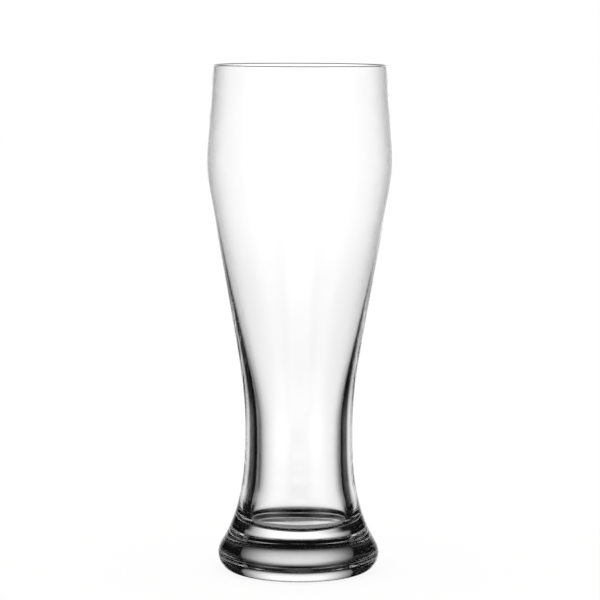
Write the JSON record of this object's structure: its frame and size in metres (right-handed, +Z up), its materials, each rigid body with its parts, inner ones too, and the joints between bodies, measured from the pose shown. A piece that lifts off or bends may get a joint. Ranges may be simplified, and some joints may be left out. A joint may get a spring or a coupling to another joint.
{
  "type": "wheat beer glass",
  "caption": "Tall wheat-beer glass with a swelling bowl, a slim waist and a thick flared foot, pressed and blown in clear glass.",
  "frame": {"origin": "centre of the foot, on the plane of the ring that the glass stands on", "axes": "+Z up along the axis of the glass, towards the mouth; the glass is round, so X and Y are alike"},
  "size_m": [0.0808, 0.0808, 0.22],
  "materials": {
    "clear_glass": "clear soda-lime glass, fire-polished and smooth all over"
  },
  "bodies": {
    "root": {"glass": "clear_glass"}
  },
  "joints": []
}
